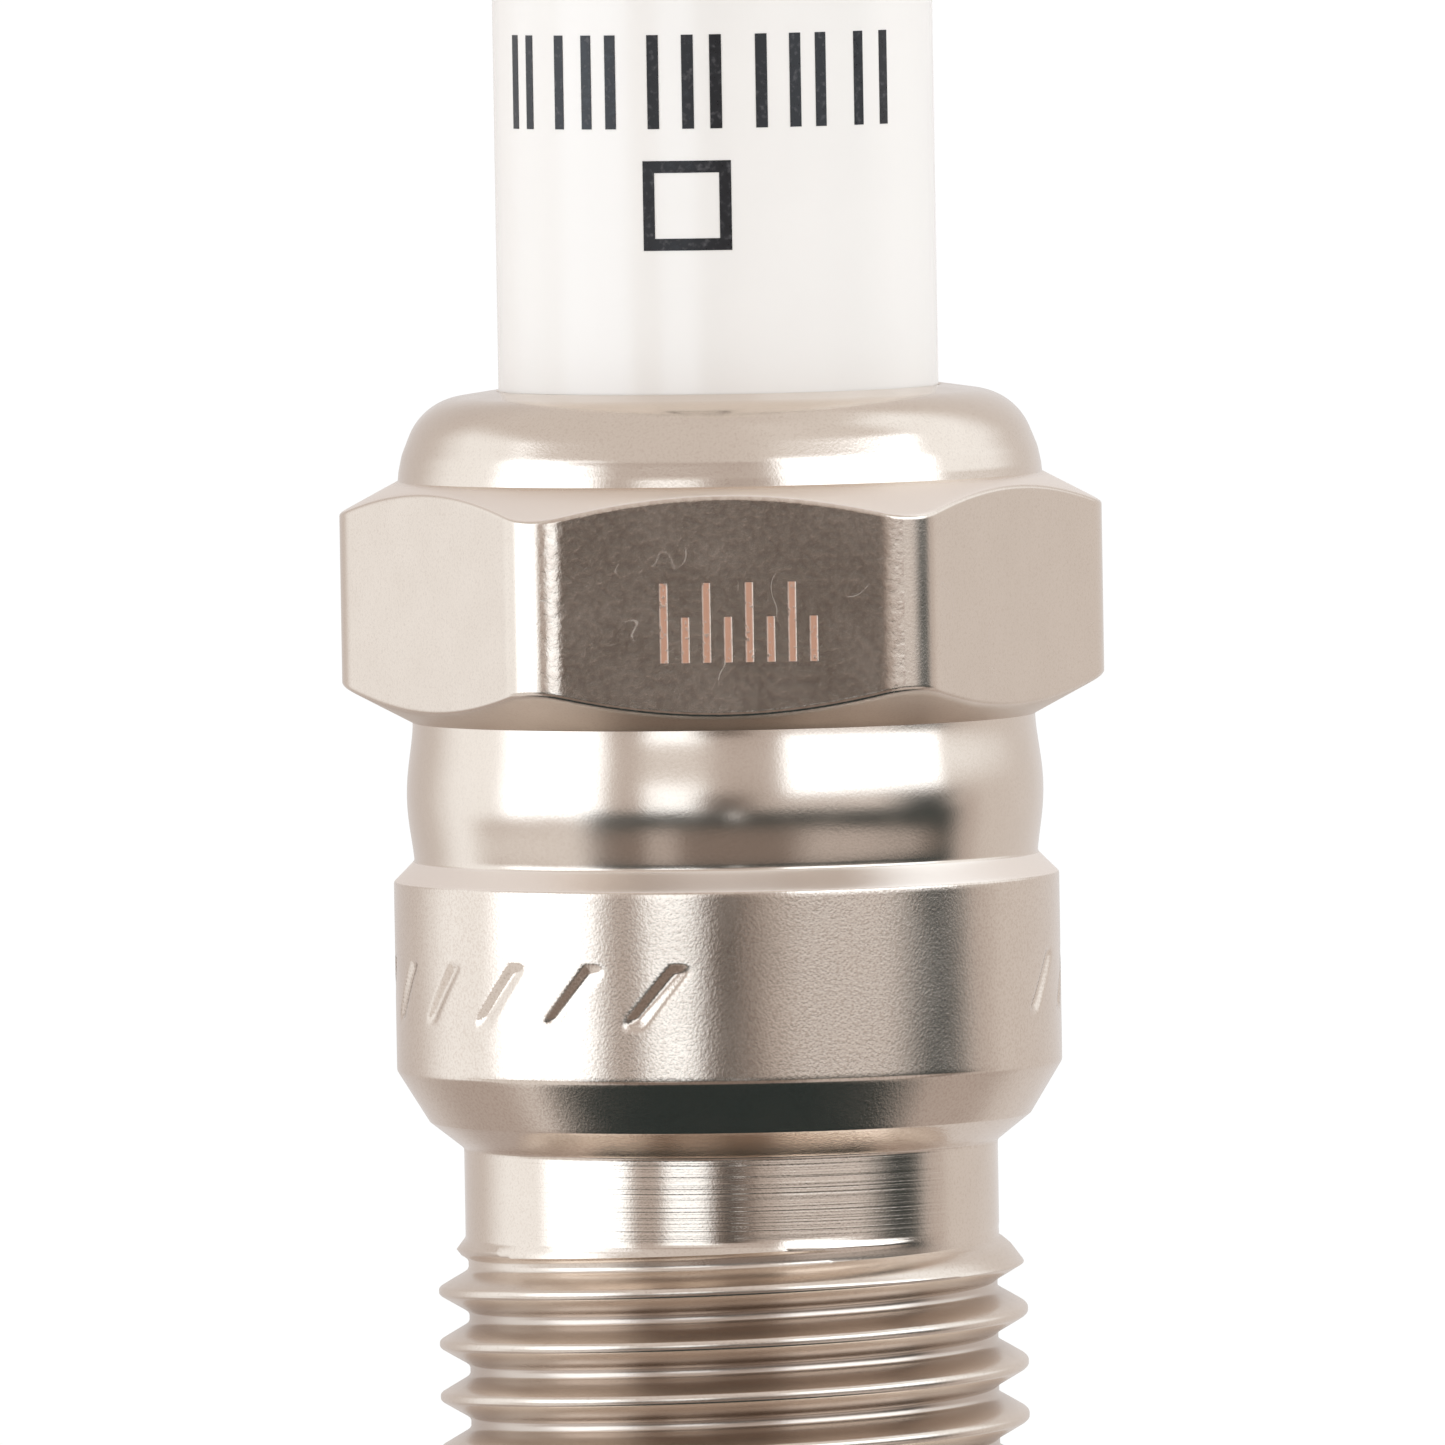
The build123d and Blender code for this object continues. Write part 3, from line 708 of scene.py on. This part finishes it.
def forged_nickel():
    """The collar's plating: satin on the dome, mottled and scuffed on the hexagon, with etched ticks and a
    painted highlight on faces turned up below the hexagon's top.
    """
    s = Shader("forged_nickel")
    x, y, z = s.add("ShaderNodeSeparateXYZ", {0: s.place}).outputs
    facing = s.add("ShaderNodeSeparateXYZ", {0: s.facing}).outputs[2]
    below_top = s.spread(z, (HEX_TOP_Z - 0.1) * MM, (HEX_TOP_Z + 0.1) * MM, 1, 0)
    # Painted highlight mask: faces turned up on the hexagon's top chamfer are painted lighter
    painted_top_highlight = s.math("MULTIPLY", s.spread(facing, 0.6, 0.8, 0, 1), below_top)
    downward = s.spread(facing, -0.8, -0.5, 1, 0)
    on_front = s.math("LESS_THAN", y, (0.1 - HEX_FLAT_R) * MM)
    grain, patches, peel = s.noise(0.060, detail=2), s.noise(1.2, detail=4), s.noise(0.20, detail=3)
    mottle = s.math("MULTIPLY", s.spread(peel, 0.42, 0.64, 0, 0.65), on_front)
    swirl = s.math("ABSOLUTE", s.math("SUBTRACT", s.noise(1.3, detail=1), 0.5))
    handled = s.math("MULTIPLY", s.spread(s.noise(0.9, detail=1), 0.60, 0.68, 0, 0.35), below_top)
    scratch = s.math("MULTIPLY", s.spread(swirl, 0.002, 0.007, 1, 0), handled)
    ticks = s.math("MULTIPLY", etched_ticks(s, x, z), on_front)
    ticks = s.math("MULTIPLY", ticks, s.spread(s.noise(0.12, detail=2), 0.30, 0.42, 0.35, 1))
    colour = s.blend(patches, NICKEL, NICKEL_WORN)
    colour = s.blend(s.spread(grain, 0.50, 0.75, 0, 0.4), colour, NICKEL_SPECK)
    colour = s.blend(mottle, colour, NICKEL_SPECK)
    # Painted highlight: lighter colour painted on faces turned up
    colour = s.blend(painted_top_highlight, colour, NICKEL_PAINTED_HIGHLIGHT)
    colour = s.blend(ticks, colour, ETCHED_COPPER)
    rough = s.spread(patches, 0.3, 0.7, 0.14, 0.18)
    etched = s.math("MAXIMUM", ticks, scratch)
    for mask, added in ((etched, 0.42), (painted_top_highlight, 0.15), (downward, 0.25)):
        rough = s.math("ADD", rough, s.math("MULTIPLY", mask, added))
    normal = s.bump(grain, 0.0016)
    normal = s.bump(s.math("MULTIPLY", peel, on_front), 0.0055, normal)
    normal = s.bump(s.math("MULTIPLY", ticks, -1), 0.008, normal)
    return s.finish(colour=colour, metallic=1.0, roughness=rough, normal=normal)


def turned_nickel():
    """Bright nickel plating over fine turning lines, duller on the thread, with painted shade that darkens
    the thread's roots.
    """
    s = Shader("turned_nickel")
    x, y, z = s.add("ShaderNodeSeparateXYZ", {0: s.place}).outputs
    radius = s.math("SQRT", s.math("ADD", s.math("MULTIPLY", x, x), s.math("MULTIPLY", y, y)))
    threaded = s.spread(z, (RUNOUT_Z - 0.2) * MM, RUNOUT_Z * MM, 1, 0)
    lines = s.noise(0.07, detail=3, stretch=TURNING_LINES)
    grain, cloud = s.noise(0.06, detail=2), s.noise(1.2, detail=3)
    normal = s.bump(s.math("MULTIPLY", lines, s.math("SUBTRACT", 1.0, threaded)), 0.004)
    normal = s.bump(grain, 0.0012, normal)
    full_depth = s.spread(z, (RUNOUT_Z - 1.5) * MM, (RUNOUT_Z - 0.5) * MM, 1, 0)
    # Painted shade mask: the roots of the full-depth thread are painted darker
    root = s.spread(radius, (MINOR_R + 0.1) * MM, (MAJOR_R - 0.1) * MM, 1, 0)
    root = s.math("MULTIPLY", root, full_depth)
    colour = s.blend(cloud, NICKEL, NICKEL_WORN)
    colour = s.blend(s.spread(grain, 0.50, 0.75, 0, 0.5), colour, NICKEL_SPECK)
    # The colour carries the painted shade in the thread's roots
    return s.finish(
        colour=s.blend(root, colour, NICKEL_ROOT_SHADE),
        metallic=1.0,
        roughness=s.math("ADD", s.spread(cloud, 0.3, 0.7, 0.10, 0.14), s.math("MULTIPLY", threaded, 0.12)),
        normal=normal,
    )


def glazed_alumina():
    """White ceramic under a clear glaze, with faint unevenness."""
    s = Shader("glazed_alumina")
    cloud = s.noise(2.5, detail=3)
    waves = s.noise(1.8, detail=2)
    return s.finish(
        colour=s.blend(cloud, (0.90, 0.835, 0.765, 1), (0.945, 0.875, 0.80, 1)),
        roughness=s.spread(cloud, 0.3, 0.7, 0.10, 0.16),
        normal=s.bump(waves, 0.004),
    )


def printed_ink():
    """Black ceramic ink, a little worn."""
    s = Shader("printed_ink")
    wear = s.noise(0.15, detail=4)
    return s.finish(
        colour=s.blend(s.spread(wear, 0.55, 0.8, 0, 1), (0.012, 0.011, 0.012, 1), (0.10, 0.09, 0.09, 1)),
        roughness=s.spread(wear, 0.3, 0.7, 0.25, 0.45),
        normal=s.bump(wear, 0.002),
    )


def plain_metal(name, colour, worn, rough, grain_size, depth, stretch=(1, 1, 1)):
    """A metal with a grain of a size and depth in millimetres, for the parts that show little."""
    s = Shader(name)
    grain = s.noise(grain_size, detail=4, stretch=stretch)
    return s.finish(
        colour=s.blend(grain, colour, worn),
        metallic=1.0,
        roughness=s.spread(grain, 0.3, 0.7, rough * 0.8, rough * 1.2),
        normal=s.bump(grain, depth),
    )


def powder(name, colour, darker, grain_size):
    """A matt filling, such as talc, fired glass or carbon."""
    s = Shader(name)
    grain = s.noise(grain_size, detail=4)
    return s.finish(colour=s.blend(grain, colour, darker), roughness=0.75, normal=s.bump(grain, 0.01))


def dress_cad_nodes(frame):
    """Materials for the CAD nodes whose shapes are kept."""
    steel = plain_metal(
        "stud_steel", (0.60, 0.56, 0.50, 1), (0.52, 0.49, 0.44, 1), 0.24, 0.08, 0.002, TURNING_LINES
    )
    wire = plain_metal("packing_steel", (0.45, 0.44, 0.42, 1), (0.38, 0.37, 0.36, 1), 0.35, 0.1, 0.003)
    nut = plain_metal("terminal_plating", NICKEL, NICKEL_WORN, 0.16, 0.10, 0.002, TURNING_LINES)
    alloy = plain_metal("electrode_nickel", (0.42, 0.40, 0.37, 1), (0.34, 0.32, 0.30, 1), 0.30, 0.06, 0.004)
    copper = plain_metal("copper_core", (0.75, 0.36, 0.22, 1), (0.60, 0.28, 0.18, 1), 0.30, 0.1, 0.003)
    bead = plain_metal("tip_weld", (0.50, 0.47, 0.44, 1), (0.36, 0.34, 0.33, 1), 0.30, 0.08, 0.006)
    iridium = plain_metal("iridium", (0.70, 0.70, 0.69, 1), (0.60, 0.60, 0.60, 1), 0.20, 0.05, 0.001)
    platinum = plain_metal("platinum", (0.74, 0.72, 0.68, 1), (0.66, 0.64, 0.60, 1), 0.18, 0.05, 0.001)
    seal = powder("glass_seal", (0.20, 0.11, 0.07, 1), (0.10, 0.06, 0.05, 1), 0.12)
    carbon = powder("resistor_body", (0.02, 0.02, 0.022, 1), (0.05, 0.05, 0.05, 1), 0.1)
    talc = powder("talc", (0.66, 0.63, 0.57, 1), (0.52, 0.50, 0.46, 1), 0.2)
    finishes = {
        "terminal_stud": steel,
        "terminal_nut": nut,
        "upper_packing_ring": wire,
        "lower_packing_ring": wire,
        "seat_washer": wire,
        "talc_packing": talc,
        "upper_glass_seal": seal,
        "lower_glass_seal": seal,
        "resistor": carbon,
        "center_electrode": alloy,
        "center_electrode_core": copper,
        "firing_tip_weld": bead,
        "iridium_tip": iridium,
        "ground_electrode": alloy,
        "ground_electrode_core": copper,
        "ground_pad": platinum,
    }
    for node, material in finishes.items():
        for material_slot in frame["nodes"][node].material_slots:
            material_slot.material = material


# ---- Lighting, floor and camera -------------------------------------------------------

# Soft boxes and dark gaps round the plug, painted one over another. Each has its brightness, its
# bearings in degrees from -Y towards +X, its heights in degrees above the horizon, and the softness
# of its sides and of its ends.
SKY_LEVEL = 0.82
SKY_LAYERS = [
    (0.74, (-172, -136), (-40, 40), (12, 12)),
    (1.22, (-125, -84), (-30, 34), (13, 8)),
    (0.90, (20, 140), (34, 75), (12, 8)),
    (1.25, (84, 128), (6, 60), (14, 6)),
    (0.58, (-168, -92), (-90, -24), (10, 8)),
    (0.58, (92, 132), (-90, -24), (10, 12)),
    (2.20, (-88, -46), (-10, 30), (6, 4)),
    (0.64, (-42, 22), (-90, 18), (5, 6)),
    (0.58, (-60, 20), (21, 27), (10, 3)),
    (0.92, (-31, -5), (3, 18), (6, 5)),
    (1.75, (-29, -8), (-9, 9), (4, 3)),
    (0.27, (-9, 10), (-24, 4), (6, 3)),
    (0.125, (-4, 4), (-6, 1), (3, 3)),
    (0.80, (20, 50), (-10, 2), (12, 3)),
    (2.20, (22, 86), (3, 36), (3, 3)),
    (0.06, (65, 92), (-40, 1), (12, 3)),
    (0.66, (92, 106), (-40, -1), (5, 4)),
    (0.72, (-104, -56), (-14, -8), (10, 2)),
    (0.05, (-52, 94), (-17, -6), (8, 2)),
    (1.30, (1, 6), (-10, -7), (2, 1)),
    (0.95, (-104, -54), (-49, -14), (8, 2)),
    (0.30, (-50, 90), (-49, -15), (8, 2)),
    (0.66, (-30, -18), (-24, -15), (4, 2)),
    (0.68, (28, 80), (-49, -15), (8, 2)),
    (0.035, (-97, 101), (-90, -50), (6, 5)),
]
# Colour of the surroundings: darks lean green, mid greys are warm and brights are cool
TINT_LEVELS = (0.035, 0.09, 0.30, 0.85, 1.25, 2.10)
TINT_GREEN = (1.40, 0.90, 0.83, 0.98, 1.07, 1.12)
TINT_BLUE = (1.45, 0.84, 0.75, 0.98, 1.14, 1.25)


def sky_colour(level):
    green = np.interp(level, TINT_LEVELS, TINT_GREEN)
    blue = np.interp(level, TINT_LEVELS, TINT_BLUE)
    return (level, level * green, level * blue, 1)


class Sky:
    """The world's node tree: a plain white ground for the camera, and the soft boxes for the plug."""

    def __init__(self):
        world = bpy.data.worlds.new("studio")
        bpy.context.scene.world = world
        world.use_nodes = True
        self.nodes, self.links = world.node_tree.nodes, world.node_tree.links

    def feed(self, socket, value):
        if isinstance(value, bpy.types.NodeSocket):
            self.links.new(value, socket)
        else:
            socket.default_value = value

    def math(self, operation, a, b=0.0):
        node = self.nodes.new("ShaderNodeMath")
        node.operation = operation
        self.feed(node.inputs[0], a)
        self.feed(node.inputs[1], b)
        return node.outputs[0]

    def blend(self, factor, a, b):
        node = self.nodes.new("ShaderNodeMix")
        node.data_type = "RGBA"
        self.feed(node.inputs[0], factor)
        self.feed(node.inputs[6], a)
        self.feed(node.inputs[7], b)
        return node.outputs[2]

    def step(self, value, edge, softness):
        """Rises from 0 to 1 across an edge."""
        node = self.nodes.new("ShaderNodeMapRange")
        node.interpolation_type = "SMOOTHSTEP"
        self.feed(node.inputs["Value"], value)
        node.inputs["From Min"].default_value = edge - softness
        node.inputs["From Max"].default_value = edge + softness
        return node.outputs[0]

    def band(self, value, span, softness):
        """1 between two edges and 0 outside them."""
        return self.math("SUBTRACT", self.step(value, span[0], softness), self.step(value, span[1], softness))

    def build(self):
        direction = self.nodes.new("ShaderNodeTexCoord").outputs["Generated"]
        split = self.nodes.new("ShaderNodeSeparateXYZ")
        self.feed(split.inputs[0], direction)
        x, y, z = split.outputs
        bearing = self.math("DEGREES", self.math("ARCTAN2", x, self.math("MULTIPLY", y, -1)))
        height = self.math("DEGREES", self.math("ARCSINE", z))
        colour = sky_colour(SKY_LEVEL)
        for level, bearings, heights, (side_softness, end_softness) in SKY_LAYERS:
            across = self.band(bearing, bearings, side_softness)
            mask = self.math("MULTIPLY", across, self.band(height, heights, end_softness))
            colour = self.blend(mask, colour, sky_colour(level))
        seen = self.nodes.new("ShaderNodeLightPath").outputs["Is Camera Ray"]
        self.feed(self.nodes["Background"].inputs["Color"], self.blend(seen, colour, WHITE_GROUND))


def fill_light(name, bearing, height, power):
    """A large soft lamp that lights the ceramic and isn't mirrored in the metal."""
    data = bpy.data.lights.new(name, "AREA")
    data.shape = "DISK"
    data.size = FILL_SIZE
    data.energy = power
    lamp = bpy.data.objects.new(name, data)
    a, e = radians(bearing), radians(height)
    away = Vector((sin(a) * cos(e), -cos(a) * cos(e), sin(e)))
    lamp.location = VIEW_TARGET + away * FILL_DISTANCE
    lamp.rotation_euler = away.to_track_quat("Z", "Y").to_euler()
    lamp.visible_glossy = False
    lamp.visible_camera = False
    bpy.context.scene.collection.objects.link(lamp)


def floor():
    """A pale disc under the plug that fades into the white ground."""
    work = bmesh.new()
    bmesh.ops.create_circle(work, cap_ends=True, segments=128, radius=FLOOR_RADIUS)
    mesh = bpy.data.meshes.new("floor")
    work.to_mesh(mesh)
    work.free()
    disc = bpy.data.objects.new("floor", mesh)
    disc.location.z = cad_low.z - FLOOR_GAP
    disc.visible_glossy = False
    bpy.context.scene.collection.objects.link(disc)
    s = Shader("floor")
    distance = s.add("ShaderNodeVectorMath", {0: s.place}, operation="LENGTH").outputs["Value"]
    grain = s.noise(3.0, detail=3)
    fade = s.spread(distance, FLOOR_RADIUS * 0.45, FLOOR_RADIUS * 0.95, 1, 0)
    s.feed(s.surface.inputs["Alpha"], fade)
    mesh.materials.append(
        s.finish(colour=s.blend(grain, (0.90, 0.90, 0.89, 1), (0.92, 0.92, 0.91, 1)), roughness=0.9)
    )


def camera():
    """A long lens a little above the plug, rolled so that the plug leans slightly left."""
    data = bpy.data.cameras.new("camera")
    data.sensor_width = 36
    data.lens = data.sensor_width * VIEW_DISTANCE / VIEW_WIDTH
    data.clip_start, data.clip_end = 0.01, 20
    view = bpy.data.objects.new("camera", data)
    back = Vector((0, -cos(VIEW_HEIGHT), sin(VIEW_HEIGHT)))
    view.location = VIEW_TARGET + back * VIEW_DISTANCE
    view.rotation_mode = "QUATERNION"
    view.rotation_quaternion = back.to_track_quat("Z", "Y") @ Quaternion((0, 0, 1), -VIEW_ROLL)
    bpy.context.scene.collection.objects.link(view)
    bpy.context.scene.camera = view


def main():
    shell_collar(forged_nickel())
    shell_seat(satin_nickel())
    shell_thread(turned_nickel())
    insulator_glazed(glazed_alumina())
    printed_marks(printed_ink())
    dress_cad_nodes(frame)
    Sky().build()
    for k in range(FILL_COUNT):
        fill_light(f"fill_{k}", 360 * k / FILL_COUNT, FILL_HEIGHT, FILL_POWER)
    floor()
    camera()
    bpy.context.scene.view_settings.view_transform = "Standard"


main()
